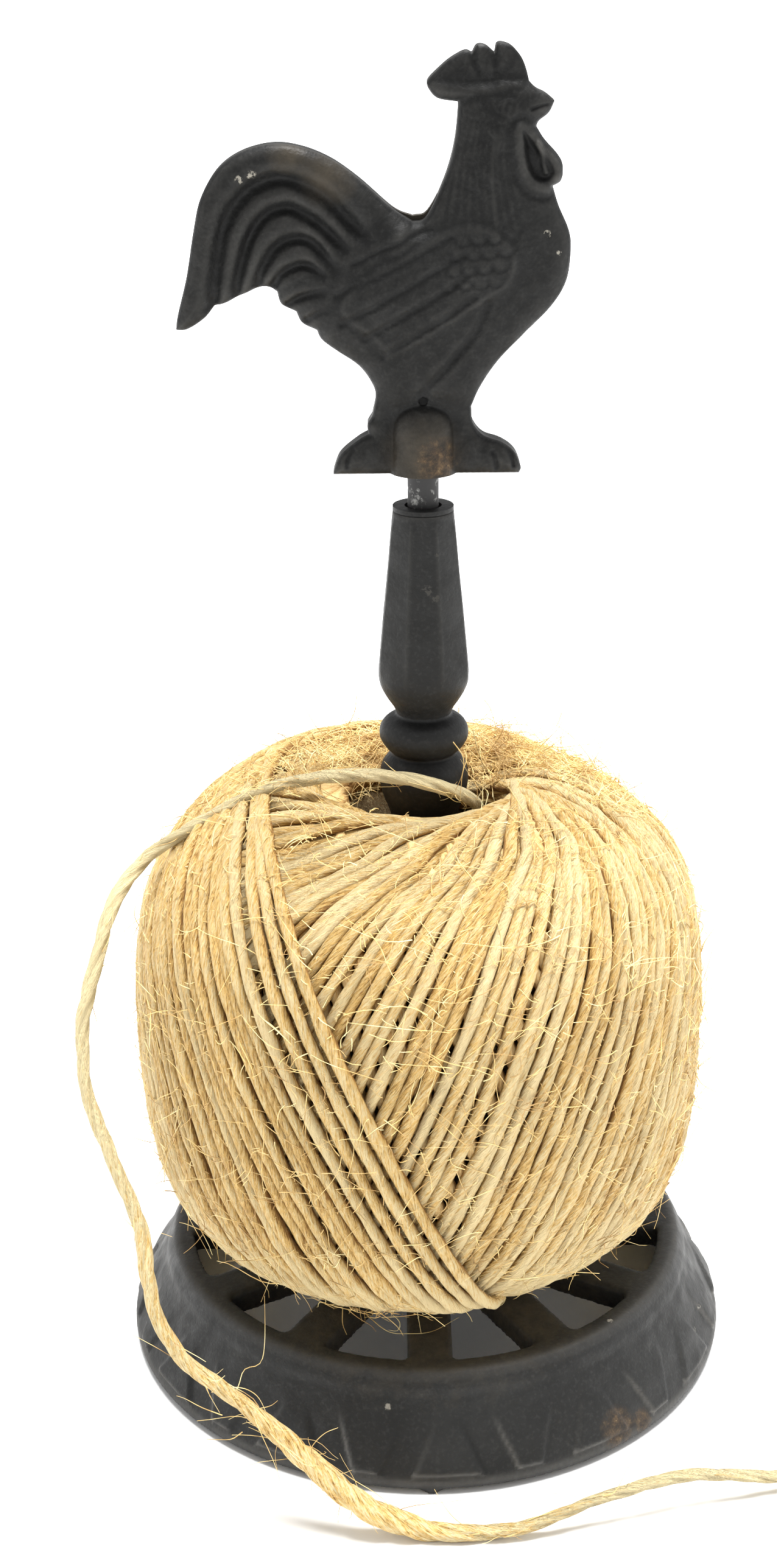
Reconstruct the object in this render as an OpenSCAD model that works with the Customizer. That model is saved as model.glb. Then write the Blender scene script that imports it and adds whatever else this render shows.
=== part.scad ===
// Twine holder: a hollow cast base, a turned column on a steel rod, a two-part cast
// rooster finial and a ball of sisal twine that spins on the column.
// Millimetres, Z up. Z = 0 is the table, the rod's axis is X = Y = 0, and the rooster
// faces +X. The side with the column's opening in the ball and the loose twine is -Y.

/* [Part shown] */
// Sub-part to draw, or all of them

/* [Base casting] */
// Diameter over the foot of the skirt
base_d = 150; // [140:1:160]
// Height of the plate that carries the ball
base_h = 26; // [24:0.5:30]
// Diameter of the plate at the rim
rim_d = 127; // [120:1:132]
// Wall of the skirt
skirt_wall = 3.5; // [2.5:0.5:5]
// Thickness of the plate
plate_t = 6; // [4:0.5:7]
// Number of windows through the plate
windows = 12; // [8:1:14]
// Width of a spoke between two windows
spoke_w = 10.5; // [8:0.5:12]
// Radius where the windows start
window_in = 30; // [26:1:36]
// Radius where the windows end
window_out = 59; // [54:0.5:59.5]
// How far the pattern stands out of the skirt
relief = 0.6; // [0.3:0.1:0.7]
// Height of the three cast feet
foot_h = 1.2; // [0.8:0.2:2]

/* [Rod and fixings] */
// Diameter of the rod
rod_d = 7; // [6:0.5:7]
// Diameter of the rod's turned-down ends
spigot_d = 6; // [5:0.5:6]
// Height of the rod's upper shoulder
shoulder_z = 223; // [222:0.5:224]
// Length of the upper spigot
spigot_l = 10; // [8:0.5:10]
// Width across the flats of the nut
nut_af = 11; // [10:0.5:13]
// Radial clearance of every running fit
fit_gap = 0.05; // [0.02:0.01:0.08]

/* [Column] */
// Height of the column's top, without its cap
column_top = 212.7; // [211:0.1:214]
// Thickness of the cap washer
cap_t = 1; // [0.8:0.1:1.5]

/* [Rooster] */
// Height of the rooster's feet above the table
rooster_z = 221.5; // [221:0.1:222]
// Radius of the socket boss between the feet
boss_r = 7.6; // [7:0.1:8]
// Thickness of one half at the tail and the comb
half_t = 5; // [4:0.2:6]
// Extra thickness of one half over the body
body_t = 3; // [2:0.2:4]

/* [Twine] */
// Radius of the hole down the ball
ball_bore = 13.5; // [13:0.1:14]
// Thickness of the twine
twine_d = 4; // [3:0.2:4.2]

/* [Hidden] */
$fn = 64;
eps = 0.01;

base_r = base_d / 2;
rim_r = rim_d / 2;
lip_z = foot_h + 1.8;
skirt_slope = (base_r - rim_r) / (base_h - lip_z);
hub_r = 14;
hub_h = 10;
foot_r = 3.2;
window_step = 360 / windows;

rod_r = rod_d / 2;
spigot_r = spigot_d / 2;
rod_end = 5;
washer_t = 1.5;
washer_z = base_h - hub_h - washer_t;
lock_t = 1.6;
lock_z = washer_z - lock_t;
nut_t = 5;
nut_z = lock_z - nut_t;

bush_r = 4.6;
bush_top = shoulder_z + spigot_l + 0.6;
rest_gap = 0.1;
screw_h = 16.6;
dowels = [[14, 55], [-14, 38]];

// Colours
iron = [0.16, 0.16, 0.17];
steel = [0.45, 0.44, 0.42];
sisal = [0.78, 0.62, 0.36];

// Column silhouette as [radius, height], foot first
column_foot = [[12, 26.1], [12, 29], [9.5, 32], [7, 37], [6.4, 44]];
column_low = [[6.4, 44], [7, 62], [8.2, 90], [9.6, 118], [10.4, 136], [10.4, 147], [9.9, 150.4], [8.7, 153], [7.4, 154.5]];
column_ring = [[7.4, 154.5], [8.8, 155.8], [10, 157.6], [10.4, 159.2], [10, 161.2], [8.6, 162.8], [6.3, 163.8]];
column_vase = [[6.3, 163.8], [7, 165.8], [8.6, 168.2], [10.1, 171.2], [10.5, 174], [10.2, 178.5], [9.2, 189], [8.3, 198], [7.5, 207], [6.9, 212.7]];

// Ball silhouette as [radius, height], from the bottom of the hole to its top
ball_edge = [
  [34, 26.1], [41, 28.5], [49, 32.5], [57, 38.5], [63, 46.5], [66.6, 58], [68.3, 72],
  [68.6, 88], [68.2, 104], [66.4, 118], [62, 130], [54, 139.5], [44, 146], [34, 149.8],
  [27, 150.2], [20, 147.6], [16, 143.6], [13.5, 136]
];

// Rooster outline in runs of [x, height above the feet], each run a smooth curve
comb_back = [[7.2, 79.4], [3.5, 80], [1.7, 81.5], [1.1, 83.5], [3.5, 86], [6, 88], [9, 89.5], [10.5, 89]];
comb_mid = [[10.5, 89], [11.5, 90.6], [13.3, 90.5], [15.2, 89]];
comb_front = [[15.2, 89], [15.8, 91], [18.3, 90.6], [20.4, 88.6], [21.6, 86.2], [22.4, 83.3]];
brow = [[22.4, 83.3], [24, 81.8], [26, 80.8], [27.8, 79.4]];
throat = [[27.8, 79.4], [26.6, 77], [24.6, 75.4], [24, 74.3]];
wattle = [[24, 74.3], [26, 71.3], [29.2, 67.7], [29.8, 65], [29.3, 63], [27.7, 62]];
breast = [[27.7, 62], [29, 58], [31.3, 52.8], [31.8, 48.6], [31, 42.2], [27.8, 36.7], [22.2, 31], [16.4, 25], [12.6, 19.4], [10.6, 15]];
front_foot = [[10.6, 15], [11, 11.4], [13.3, 8.5], [17.3, 7], [20.3, 4.7], [21.7, 1.4], [21.3, 0]];
rear_foot = [[-20, 0], [-19.8, 1], [-18.3, 4.4], [-14.3, 7.7], [-12, 9]];
spur = [[-12, 9], [-12.3, 11], [-11.2, 13]];
rear_leg = [[-11.2, 13], [-10.4, 17], [-11, 20], [-14, 24.2], [-19.2, 27.8], [-22, 30], [-23, 32]];
vane_1 = [[-23, 32], [-26.1, 33.6], [-27.4, 36.1]];
vane_2 = [[-27.4, 36.1], [-30.5, 37.7], [-31.4, 40.4]];
vane_3 = [[-31.4, 40.4], [-33, 41.3], [-35, 41.3], [-38.8, 39.8], [-42.7, 38], [-45, 37.4]];
vane_4 = [[-45, 37.4], [-47.3, 34.8], [-51, 32.5], [-53.6, 32.3]];
tail_back = [
  [-53.6, 32.3], [-53, 35.7], [-50.8, 43.7], [-49, 53], [-47.2, 60], [-43.5, 66],
  [-38.4, 69.5], [-32, 71.1], [-26, 70.5], [-19.6, 68], [-13.5, 63.8], [-6.5, 57.7], [-2, 54.8]
];
neck_back = [[-2, 54.8], [0.4, 55.4], [2.8, 59.3], [5.4, 65.5], [7, 72], [7.6, 78.6], [7.2, 79.4]];

// Raised body and thigh, without tail, comb and feet
body_edge = [
  [9, 76], [13, 79], [19, 79], [22.5, 74], [22, 66], [24.5, 60], [28, 53], [28.5, 47],
  [26, 40.5], [20, 34], [13.5, 27.5], [8.5, 20], [0, 17.5], [-8, 20], [-12, 25.5], [-19, 31],
  [-22, 38], [-19, 46], [-12, 52], [-4, 52.5], [3.5, 55.5], [7, 64]
];
wing_edge = [
  [9, 55], [15, 54], [20, 49], [19, 42.5], [12, 37.5], [2, 31.5], [-7, 26.5], [-9, 28],
  [-11.5, 31], [-16, 34], [-18, 38], [-14, 43], [-4, 48.5], [3, 52.5]
];

// Grooves between the tail feathers and the feathers of the wing
tail_lines = [
  [[-45, 39.5], [-42.5, 53.5], [-39, 59.5], [-34.5, 63], [-29, 64], [-23.5, 62], [-19, 58.8], [-12, 51]],
  [[-40, 41.5], [-38, 49], [-36, 53.5], [-32.5, 57], [-28.5, 58], [-24, 56], [-20, 52.8], [-17, 49.5]],
  [[-35.3, 43.5], [-33, 47.7], [-30.7, 50.3], [-27.3, 51.6], [-24, 51], [-21, 48], [-18.6, 45]],
  [[-31, 43.5], [-28, 45.6], [-24.7, 46]],
  [[-27, 38.2], [-24, 39.5], [-21.4, 40.5]]
];
wing_lines = [
  [[4, 50.5], [-6, 46], [-17, 40]],
  [[7, 47], [-4, 41.5], [-16, 34.5]],
  [[8, 43], [-1, 37.5], [-11, 31]],
  [[10.5, 38.5], [2, 33], [-7, 27.5]]
];

// Loose end of the twine: up out of the ball's hole, over its shoulder, down past the
// base and along the table
tail_route = [
  [13, -4, 140], [11, -8, 145], [3, -14, 151], [-8, -15, 154], [-20, -12, 153],
  [-35, -10, 149.5], [-50, -9, 142], [-58, -9, 137], [-64, -10, 133], [-68, -15, 130.5],
  [-72, -23, 126], [-75, -29, 118], [-78, -34, 107], [-79, -37, 100], [-78, -43, 90],
  [-75, -47, 82], [-71, -52, 73], [-66, -57, 62], [-64, -62, 51], [-61, -67, 42],
  [-55, -72, 35], [-48, -75, 31], [-36, -81, 24], [-24, -85, 14], [-14, -88, 7],
  [-2, -89.5, 2.4], [10, -90, 2], [21, -89, 3], [40, -84, 7], [58, -79, 8],
  [79, -74.5, 4], [92, -72, 2], [104, -70, 2]
];
cord_sides = 8;

// Catmull-Rom point between b and c
function between(a, b, c, d, t) =
  b + 0.5 * t * (c - a + t * (2 * a - 5 * b + 4 * c - d + t * (3 * b - a - 3 * c + d)));

// Smooth open curve through a list of points, its last point left out
function curve(p, n = 3) = [
  for (i = [0 : len(p) - 2], k = [0 : n - 1])
    between(p[max(i - 1, 0)], p[i], p[i + 1], p[min(i + 2, len(p) - 1)], k / n)
];

// Smooth closed curve through a list of points
function loop(p, n = 3) = let (m = len(p)) [
  for (i = [0 : m - 1], k = [0 : n - 1])
    between(p[(i + m - 1) % m], p[i], p[(i + 1) % m], p[(i + 2) % m], k / n)
];

// Several curves end to end
function chain(runs, n = 3) = [for (r = runs) each curve(r, n)];

// Band of width w along a curve, pointed at its end
function across(p, i) =
  let (d = p[min(i + 1, len(p) - 1)] - p[max(i - 1, 0)])
  [-d[1], d[0]] / norm(d);
function half_width(p, i, w) = w * (1 - 0.6 * i / (len(p) - 1)) / 2;
function band(p, w) = concat(
  [for (i = [0 : len(p) - 1]) p[i] + across(p, i) * half_width(p, i, w)],
  [for (i = [len(p) - 1 : -1 : 0]) p[i] - across(p, i) * half_width(p, i, w)]
);

function polar(r, a) = [r * cos(a), r * sin(a)];
function skirt_at(z) = base_r - (z - lip_z) * skirt_slope;

rooster_outline = concat(
  chain([comb_back, comb_mid, comb_front, brow, throat, wattle, breast, front_foot]),
  [front_foot[6]],
  chain([rear_foot, spur, rear_leg, vane_1, vane_2, vane_3, vane_4, tail_back, neck_back])
);

// ---- base ----

// One window between two spokes of even width
module window(a) {
  half_out = window_step / 2 - asin(spoke_w / 2 / window_out);
  half_in = window_step / 2 - asin(spoke_w / 2 / window_in);
  rotate([0, 0, a])
    translate([0, 0, base_h - plate_t - 4])
      linear_extrude(plate_t + 8)
        offset(r = 1.2)
          offset(delta = -1.2)
            polygon(concat(
              [for (k = [-4 : 4]) polar(window_out, half_out * k / 4)],
              [for (k = [2 : -1 : -2]) polar(window_in, half_in * k / 2)]
            ));
}

// Upright block that outlines one field of the skirt's pattern
module field(a, low_w, high_w) {
  rotate([0, 0, a])
    translate([base_r - 20, 0, 0])
      rotate([90, 0, 90])
        linear_extrude(30)
          polygon([
            [-low_w / 2, lip_z + 1.8], [low_w / 2, lip_z + 1.8],
            [high_w / 2, lip_z + 12.5], [-high_w / 2, lip_z + 12.5]
          ]);
}

// Skin just outside the skirt
module skirt_skin() {
  z1 = lip_z + 1;
  z2 = base_h - 3;
  rotate_extrude()
    polygon([
      [skirt_at(z1) - 1, z1], [skirt_at(z1) + relief, z1],
      [skirt_at(z2) + relief, z2], [skirt_at(z2) - 1, z2]
    ]);
}

module base_casting() {
  color(iron) {
    difference() {
      rotate_extrude()
        polygon([
          [spigot_r + 0.2, base_h],
          [rim_r - 0.4, base_h], [rim_r + 0.6, base_h - 0.5], [rim_r + 1.4, base_h - 1.8],
          [base_r, lip_z], [base_r, foot_h + 0.5], [base_r - 0.5, foot_h],
          [base_r - skirt_wall, foot_h],
          [skirt_at(base_h - plate_t - 2) - skirt_wall, base_h - plate_t - 2],
          [skirt_at(base_h - plate_t) - skirt_wall - 2, base_h - plate_t],
          [hub_r + 1.5, base_h - plate_t], [hub_r, base_h - plate_t - 1.5],
          [hub_r, base_h - hub_h], [spigot_r + 0.2, base_h - hub_h]
        ]);
      for (i = [0 : windows - 1])
        window((i + 0.5) * window_step);
    }
    intersection() {
      skirt_skin();
      union() {
        for (i = [0 : 11]) {
          field(30 * i + 18, 5.8, 15);
          field(30 * i + 3, 15.8, 5.8);
        }
      }
    }
    for (a = [-90, 30, 150])
      rotate([0, 0, a])
        translate([base_r - skirt_wall + 0.1, 0, 0])
          cylinder(r = foot_r, h = foot_h + 1);
  }
}

// ---- rod and the fixings under the base ----

module spindle_rod() {
  color(steel)
    rotate_extrude()
      polygon([
        [0, rod_end], [spigot_r - 0.6, rod_end], [spigot_r, rod_end + 0.6],
        [spigot_r, base_h], [rod_r, base_h],
        [rod_r, shoulder_z], [spigot_r, shoulder_z],
        [spigot_r, shoulder_z + spigot_l - 0.5], [spigot_r - 0.5, shoulder_z + spigot_l],
        [0, shoulder_z + spigot_l]
      ]);
}

module base_washer() {
  color(steel)
    translate([0, 0, washer_z])
      difference() {
        cylinder(r = 9, h = washer_t);
        translate([0, 0, -1])
          cylinder(r = spigot_r + 0.2, h = washer_t + 2);
      }
}

module base_lock_washer() {
  color(steel)
    translate([0, 0, lock_z])
      difference() {
        cylinder(r = 5.2, h = lock_t);
        translate([0, 0, -1])
          cylinder(r = spigot_r + 0.1, h = lock_t + 2);
        rotate([35, 0, 0])
          translate([spigot_r - 1, -0.4, -3])
            cube([5, 0.8, 8]);
      }
}

module base_nut() {
  color(steel)
    translate([0, 0, nut_z])
      difference() {
        intersection() {
          cylinder(r = nut_af / 2 / cos(30), h = nut_t, $fn = 6);
          rotate_extrude()
            polygon([
              [0, 0], [nut_af / 2, 0], [nut_af / 2 + 1.2, 0.9],
              [nut_af / 2 + 1.2, nut_t - 0.9], [nut_af / 2, nut_t], [0, nut_t]
            ]);
        }
        translate([0, 0, -1])
          cylinder(r = spigot_r, h = nut_t + 2);
      }
}

// ---- column ----

module column() {
  color(iron)
    rotate_extrude()
      polygon(concat(
        [[rod_r + fit_gap, column_foot[0][1]]],
        chain([column_foot, column_low, column_ring, column_vase], 2),
        [column_vase[len(column_vase) - 1], [rod_r + fit_gap, column_top]]
      ));
}

module column_cap() {
  color(iron)
    translate([0, 0, column_top])
      difference() {
        cylinder(r = 6.9, h = cap_t);
        translate([0, 0, -1])
          cylinder(r = rod_r + 0.7, h = cap_t + 2);
      }
}

// ---- rooster ----

module socket_bush() {
  color(steel)
    translate([0, 0, shoulder_z])
      difference() {
        cylinder(r = bush_r, h = bush_top - shoulder_z);
        translate([0, 0, -1])
          cylinder(r = spigot_r + fit_gap, h = bush_top - shoulder_z + 2);
      }
}

// Flat layer of a half, from the parting plane to thickness t, edge drawn in by inset
module layer(outline, inset, t) {
  rotate([90, 0, 0])
    linear_extrude(t)
      offset(delta = -inset)
        polygon(outline);
}

module groove(route, w, from) {
  rotate([90, 0, 0])
    translate([0, 0, from])
      linear_extrude(12)
        polygon(band(route, w));
}

// Domed boss that grips the bush
module boss() {
  rotate_extrude()
    polygon(concat(
      [[0, 0], [boss_r, 0]],
      [for (a = [0 : 9 : 90]) [boss_r * cos(a), 8 + boss_r * sin(a)]]
    ));
}

// The half on the -Y side: its flat back lies on the parting plane
module rooster_half() {
  translate([0, 0, rooster_z])
    difference() {
      union() {
        layer(rooster_outline, 0, half_t - 1.6);
        layer(rooster_outline, 0.5, half_t - 0.7);
        layer(rooster_outline, 1.2, half_t);
        for (k = [0 : 3])
          layer(loop(body_edge, 2), [0, 0.8, 2, 4][k], half_t + body_t * [0.4, 0.7, 0.88, 1][k]);
        layer(loop(wing_edge, 2), 0, half_t + body_t + 0.8);
        difference() {
          boss();
          translate([-20, 0, -1])
            cube([40, 20, 30]);
        }
      }
      for (route = tail_lines)
        groove(curve(route, 2), 2.2, half_t - 1.2);
      for (route = wing_lines)
        groove(curve(route, 2), 1.3, half_t + body_t);
      translate([0, 0, -1])
        cylinder(r = rod_r + 0.4, h = 3);
      translate([0, 0, shoulder_z - rooster_z])
        cylinder(r = bush_r + fit_gap, h = bush_top - shoulder_z);
      layer(loop(body_edge, 2), 6, 4);
      for (d = dowels)
        translate([d[0], 0, d[1]])
          rotate([90, 0, 0])
            cylinder(r = 1.5, h = 3, center = true);
    }
}

module rooster_front() {
  color(iron)
    difference() {
      rooster_half();
      translate([0, 0, rooster_z + screw_h])
        rotate([90, 0, 0]) {
          translate([0, 0, -1])
            cylinder(r = 1.5, h = half_t + 0.5);
          cylinder(r = 1.1, h = 20);
        }
    }
}

module rooster_back() {
  color(iron)
    difference() {
      mirror([0, 1, 0])
        rooster_half();
      translate([0, 0, rooster_z + screw_h])
        rotate([-90, 0, 0]) {
          translate([0, 0, -1])
            cylinder(r = 1.6, h = 20);
          translate([0, 0, half_t])
            cylinder(r = 3, h = 20);
        }
    }
}

// Slotted cheese-head screw that draws the two halves together
module rooster_screw() {
  color(steel)
    translate([0, 0, rooster_z + screw_h])
      rotate([-90, 0, 0])
        difference() {
          union() {
            translate([0, 0, 1 - half_t])
              cylinder(r = 1.5, h = 2 * half_t);
            translate([0, 0, half_t])
              cylinder(r = 2.8, h = 2);
          }
          translate([-0.4, -4, half_t + 1.1])
            cube([0.8, 8, 2]);
        }
}

module rooster_dowels() {
  color(steel)
    for (d = dowels)
      translate([d[0], 0, rooster_z + d[1]])
        rotate([90, 0, 0])
          cylinder(r = 1.5, h = 2.8, center = true);
}

// ---- twine ----

module twine_ball() {
  color(sisal)
    rotate_extrude()
      polygon(concat(
        [[ball_bore, 26.1]],
        curve(ball_edge, 2),
        [ball_edge[len(ball_edge) - 1]]
      ));
}

// Cross product made into a unit vector
function unit(v) = v / norm(v);
function side_of(p, i) =
  let (d = p[min(i + 1, len(p) - 1)] - p[max(i - 1, 0)])
  unit(cross(unit(d), abs(unit(d)[2]) > 0.9 ? [0, -1, 0] : [0, 0, 1]));
function up_of(p, i) =
  let (d = p[min(i + 1, len(p) - 1)] - p[max(i - 1, 0)])
  unit(cross(side_of(p, i), unit(d)));

module twine_tail() {
  path = concat(curve(tail_route, 2), [tail_route[len(tail_route) - 1]]);
  n = cord_sides;
  last = len(path) - 1;
  rings = [
    for (i = [0 : last], k = [0 : n - 1])
      path[i] + twine_d / 2 * (cos(360 * k / n) * side_of(path, i) + sin(360 * k / n) * up_of(path, i))
  ];
  color(sisal)
    polyhedron(
      points = rings,
      faces = concat(
        [[for (k = [0 : n - 1]) k]],
        [
          for (i = [0 : last - 1], k = [0 : n - 1])
            [i * n + k, (i + 1) * n + k, (i + 1) * n + (k + 1) % n, i * n + (k + 1) % n]
        ],
        [[for (k = [n - 1 : -1 : 0]) last * n + k]]
      )
    );
}

base_casting();
spindle_rod();
base_washer();
base_lock_washer();
base_nut();
column();
column_cap();
socket_bush();
rooster_front();
rooster_back();
rooster_screw();
rooster_dowels();
twine_ball();
twine_tail();
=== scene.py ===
"""Looks for the twine holder: cast iron base, column and rooster, steel rod, sisal twine.

Lengths are millimetres in the CAD's frame until make_object turns them into metres."""

import math

import bpy
import numpy as np
from mathutils import Matrix, Vector


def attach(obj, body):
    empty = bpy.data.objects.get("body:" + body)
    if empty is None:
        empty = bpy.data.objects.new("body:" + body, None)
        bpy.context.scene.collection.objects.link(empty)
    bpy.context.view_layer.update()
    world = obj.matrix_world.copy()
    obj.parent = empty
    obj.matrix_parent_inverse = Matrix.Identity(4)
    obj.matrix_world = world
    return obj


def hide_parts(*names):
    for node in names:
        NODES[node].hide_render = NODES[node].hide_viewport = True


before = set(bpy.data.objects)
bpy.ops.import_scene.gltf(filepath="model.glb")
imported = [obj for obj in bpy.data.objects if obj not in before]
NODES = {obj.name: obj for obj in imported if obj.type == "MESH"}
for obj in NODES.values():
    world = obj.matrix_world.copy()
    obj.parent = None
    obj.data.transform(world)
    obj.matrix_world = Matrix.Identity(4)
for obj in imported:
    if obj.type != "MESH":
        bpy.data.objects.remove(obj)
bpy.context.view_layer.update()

MM = 0.001
RNG = np.random.default_rng(7)

# ---- camera, at the photograph's viewing angle ----

IMAGE_LONG_SIDE = 2576
FOCAL_IN_IMAGE = 3653
SENSOR = 36
CAMERA_AT = Vector((-8.4, -487.1, 343.4)) * MM
CAMERA_DOWN = math.radians(22.06)
CAMERA_ROLL = math.radians(-0.56)

# ---- light ----

# Brightness of the room on the camera's side and the far side, and what its flanks add
ROOM_NEAR, ROOM_FAR, ROOM_SIDES = 0.46, 0.82, 0.82
SUN_TOWARDS = Vector((-0.06, -0.1, -1))
SUN_POWER = 7.2
SUN_SPREAD = math.radians(30)

# ---- twine ----

# The loose end's route, as in part.scad
TAIL_ROUTE = [
    (13, -4, 140), (11, -8, 145), (3, -14, 151), (-8, -15, 154), (-20, -12, 153),
    (-35, -10, 149.5), (-50, -9, 142), (-58, -9, 137), (-64, -10, 133), (-68, -15, 130.5),
    (-72, -23, 126), (-75, -29, 118), (-78, -34, 107), (-79, -37, 100), (-78, -43, 90),
    (-75, -47, 82), (-71, -52, 73), (-66, -57, 62), (-64, -62, 51), (-61, -67, 42),
    (-55, -72, 35), (-48, -75, 31), (-36, -81, 24), (-24, -85, 14), (-14, -88, 7),
    (-2, -89.5, 2.4), (10, -90, 2), (21, -89, 3), (40, -84, 7), (58, -79, 8),
    (79, -74.5, 4), (92, -72, 2), (104, -70, 2),
]
FIBRE_PITCH = 27.0
FIBRE_LENGTH = 12.0
YARN_R = 1.46

# Middle of the outermost windings, as (radius, height), from the lower hole to the upper
WRAP_EDGE = [
    (15, 29.6), (26, 29.2), (36, 29.8), (43, 32), (50, 36), (56, 41.5), (60.6, 48.5),
    (63.8, 59), (65.4, 73), (65.7, 88), (65.3, 103), (63.4, 116.6), (59, 127.5),
    (51.5, 136.3), (42, 142.5), (33, 146), (26, 146.5), (20, 144.8), (15, 142),
]
# Across the ball: (share of the way up, distance from the plane through the axis)
MAIN_ACROSS = [
    (0, -27), (0.1, -28), (0.2, -26), (0.35, -15.5), (0.5, -3), (0.7, 12.5), (0.85, 22.5),
    (0.94, 22), (1, 20),
]
MAIN_STRANDS = 117
# How far each of five neighbours dips near the upper hole, so that they pass over each other
MAIN_DIPS = (0, 2.2, 4.2, 1.0, 3.4)
OUTER_TURNS = 28
OUTER_GAP = math.radians(2.97)
OUTER_LIFT = 2.9
UNDER_STRANDS = 84
FUZZ_HAIRS = 8800
BOWL_HAIRS = 700
TAIL_HAIRS = 190
# Inside of the core, from the bowl round the column down the hole: (radius, height)
CORE_HOLE = [
    (36, 142.5), (30, 141), (24, 139), (18, 137), (14.5, 134.5), (13.4, 130),
    (13.2, 120), (13.2, 90), (13.2, 60), (13.6, 36),
]
# Radius of the loose end: (share of its length, radius)
TAIL_RADIUS = [
    (0, 1.45), (0.2, 1.45), (0.35, 1.6), (0.5, 1.55), (0.57, 1.7), (0.63, 2.3), (0.68, 2.6),
    (0.73, 2.0), (0.79, 1.35), (0.88, 1.3), (1, 1.2),
]
# Its brightness, in the same way; the high values at its start are painted light on the part that
# crosses the upper hole in the rooster's shade
TAIL_TONE_AND_LIGHT = [
    (0, 1.35), (0.12, 1.4), (0.3, 1.1), (0.46, 0.7), (0.55, 0.5), (0.74, 0.45), (0.85, 0.9),
    (1, 0.95),
]
# Single long fibres of the loose end and of the ball
TAIL_FIBRES = [
    [(-50, -70, 25.5), (-44, -71, 27.5), (-40, -71.5, 26), (-38, -71.5, 22), (-37, -71.5, 17)],
    [(-47.5, -69, 23.5), (-43.5, -70, 23.7), (-40.5, -70.5, 21), (-39.5, -70.5, 15)],
    [(-48, -68, 17.5), (-52.5, -69, 20.5), (-56, -70, 23.7), (-58, -70, 24.6)],
    [(-43, -74, 17.5), (-45.3, -75, 16.4), (-48, -76, 17), (-51, -76, 17.2)],
    [(-27, -84, 18.5), (-26.7, -84, 21.5), (-24, -83, 24), (-21, -83, 25.5)],
    [
        (-34, -78, 17.5), (-28, -81, 19), (-23.5, -84, 17), (-17.5, -87, 14.3),
        (-13, -88, 11.7), (-9.5, -89, 9),
    ],
    [(-43.5, -71, 21.6), (-39.5, -71, 21.6), (-36.5, -71, 22.4), (-35, -70, 23)],
    [
        (-46, -66.5, 20), (-44, -67, 25), (-42.5, -67, 29.5), (-39, -66, 30.2),
        (-38, -63, 34), (-38, -58, 43),
    ],
]
BALL_FIBRES = [
    [(6.5, -11.6, 161), (8.8, -12.5, 157.5), (8.4, -13, 153), (6, -14, 148)],
    [(-15.5, -45, 29), (-10, -49, 26.5), (-5, -50.5, 26.8), (0.7, -50, 27), (7, -46, 28)],
    [(-20.5, -45, 30), (-20.5, -48, 28), (-19.5, -51, 27)],
    [(-3, -47, 31.5), (-2.4, -49.5, 29), (-2, -51.5, 27.5)],
    [(-9.5, -46, 30), (-7, -49, 29), (-7.5, -50, 27.3), (-9.6, -49, 26.8)],
    [(11.8, 8, 156.5), (13, 6, 152), (15, 4, 147.5), (19, 0, 145.7)],
    [(9, -14.5, 160), (9.5, -14.5, 158), (8.5, -14.5, 154), (8, -14, 147)],
    [(11.5, -12, 151), (12, -12.5, 150), (12, -13, 147)],
    [(19, 8, 151), (19, 5, 148.3), (19.6, 0, 145)],
    [(15.5, 30, 156), (17, 28, 154.3), (18.3, 26, 150), (20, 24, 147)],
    [(33.8, 20, 156.2), (32.8, 20, 153), (31, 18, 152), (28, 16, 148)],
    [(13, 30, 150.8), (15.5, 30, 151), (17, 30, 151), (22, 29, 147)],
]


def smooth_curve(points, n):
    """Catmull-Rom curve through the points, n steps between each two."""
    p = np.asarray(points, float)
    q = np.vstack([2 * p[0] - p[1], p, 2 * p[-1] - p[-2]])
    t = (np.arange(n) / n)[:, None]
    out = []
    for i in range(1, len(q) - 2):
        a, b, c, d = q[i - 1 : i + 3]
        out.append(
            b + 0.5 * t * (c - a + t * (2 * a - 5 * b + 4 * c - d + t * (3 * b - a - 3 * c + d)))
        )
    return np.vstack(out + [p[-1:]])


def even_steps(points, step):
    """The same line with its points a step apart."""
    lengths = np.linalg.norm(np.diff(points, axis=0), axis=1)
    s = np.concatenate([[0], np.cumsum(lengths)])
    n = max(int(round(s[-1] / step)), 2)
    at = np.linspace(0, s[-1], n + 1)
    return columns(*[np.interp(at, s, points[:, k]) for k in range(3)]), at


def ease(x):
    """A smooth step: 0 below 0, 1 above 1."""
    x = np.clip(x, 0, 1)
    return x * x * (3 - 2 * x)


def bell(x, width):
    """1 at 0, falling away on both sides."""
    return np.exp(-((x / width) ** 2))


def columns(*parts):
    return np.stack(parts, 1)


def unit(v):
    return v / np.linalg.norm(v, axis=-1, keepdims=True)


def ring_faces(rings, sides, closed):
    """Four-sided faces between neighbouring rings of vertices."""
    i, k = np.meshgrid(np.arange(rings if closed else rings - 1), np.arange(sides), indexing="ij")
    j, m = (i + 1) % rings, (k + 1) % sides
    return np.stack([i * sides + k, i * sides + m, j * sides + m, j * sides + k], -1).reshape(-1, 4)


def moving_frames(points, closed=False):
    """Two unit vectors across the line at each point, turning as little as possible."""
    around = np.roll(points, -1, 0) - np.roll(points, 1, 0)
    tangent = unit(around if closed else np.gradient(points, axis=0))
    first = np.array([0.3, 0.2, 1.0])
    side = np.empty_like(points)
    v = first - tangent[0] * first.dot(tangent[0])
    for i, t in enumerate(tangent):
        v = v - t * v.dot(t)
        v /= np.linalg.norm(v)
        side[i] = v
    return side, np.cross(tangent, side)


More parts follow.
